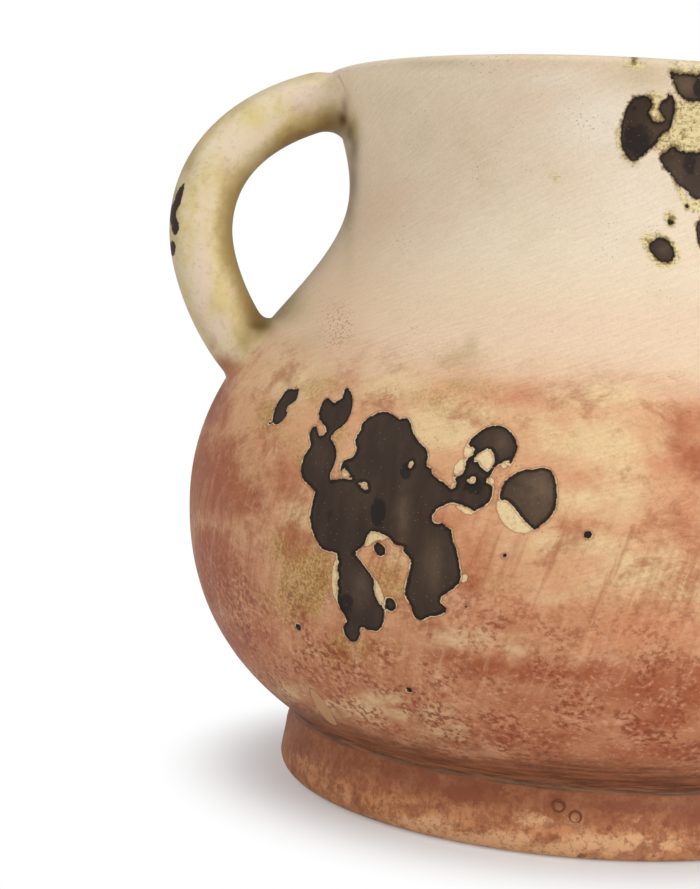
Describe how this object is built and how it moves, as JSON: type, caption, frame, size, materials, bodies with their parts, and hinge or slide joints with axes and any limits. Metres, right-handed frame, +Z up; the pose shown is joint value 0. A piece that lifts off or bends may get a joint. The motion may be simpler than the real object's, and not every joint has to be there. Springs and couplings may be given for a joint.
{
  "type": "jug",
  "caption": "Bulbous glazed clay jug with a wide flared neck, a pulled lip, a foot ring and one rod handle.",
  "frame": {"origin": "on the floor, in the middle of the jug's outline seen from above", "axes": "+Z up; the handle points to -X and the pouring lip to +X"},
  "size_m": [0.2642, 0.2532, 0.2213],
  "materials": {
    "vessel_glaze": "satin glaze, cream at the neck and mottled terracotta on the belly, flaked off in dark patches",
    "foot_glaze": "satin orange-brown mottled glaze",
    "handle_glaze": "satin cream glaze stained olive towards the roots"
  },
  "bodies": {
    "root": {"vessel_body": "vessel_glaze", "foot_ring": "foot_glaze", "handle": "handle_glaze", "upper_luting_coil": "handle_glaze", "lower_luting_coil": "handle_glaze"}
  },
  "joints": []
}
